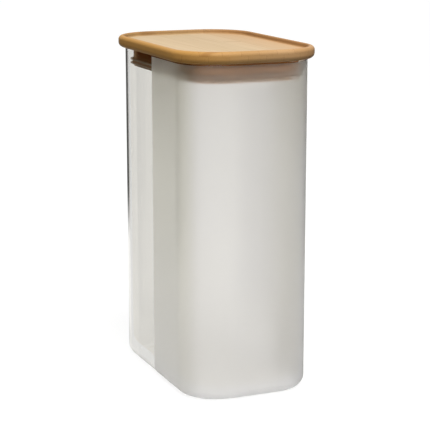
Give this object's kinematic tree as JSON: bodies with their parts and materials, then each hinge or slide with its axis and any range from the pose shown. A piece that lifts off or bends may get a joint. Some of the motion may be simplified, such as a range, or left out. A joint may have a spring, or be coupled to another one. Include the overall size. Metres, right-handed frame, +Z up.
{
  "type": "rice storage jar",
  "caption": "Tall glass storage jar with a rounded rectangular plan, a frosted front half, and a lift-off bamboo lid whose plug carries a finned silicone seal.",
  "frame": {"origin": "middle of the base, on the surface that the jar stands on", "axes": "+Z up along the jar, -Y out of the coated front face, +X to the right of that face"},
  "size_m": [0.0996, 0.1556, 0.23],
  "materials": {
    "clear_glass": "clear and polished",
    "frosted_coat": "sprayed white coat, matte and slightly translucent",
    "bamboo_board": "laminated bamboo, oiled, satin",
    "bamboo_plug": "laminated bamboo, oiled, satin",
    "silicone": "translucent milky silicone, matte"
  },
  "bodies": {
    "jar": {"glass_jar": "clear_glass", "frosted_coat": "frosted_coat"},
    "lid": {"lid_board": "bamboo_board", "lid_plug": "bamboo_plug", "seal_ring": "silicone"}
  },
  "joints": [
    {"name": "lid_lift", "type": "slide", "parent": "jar", "child": "lid", "axis": [0, 0, 1], "range_m": [0, 0.12]}
  ]
}
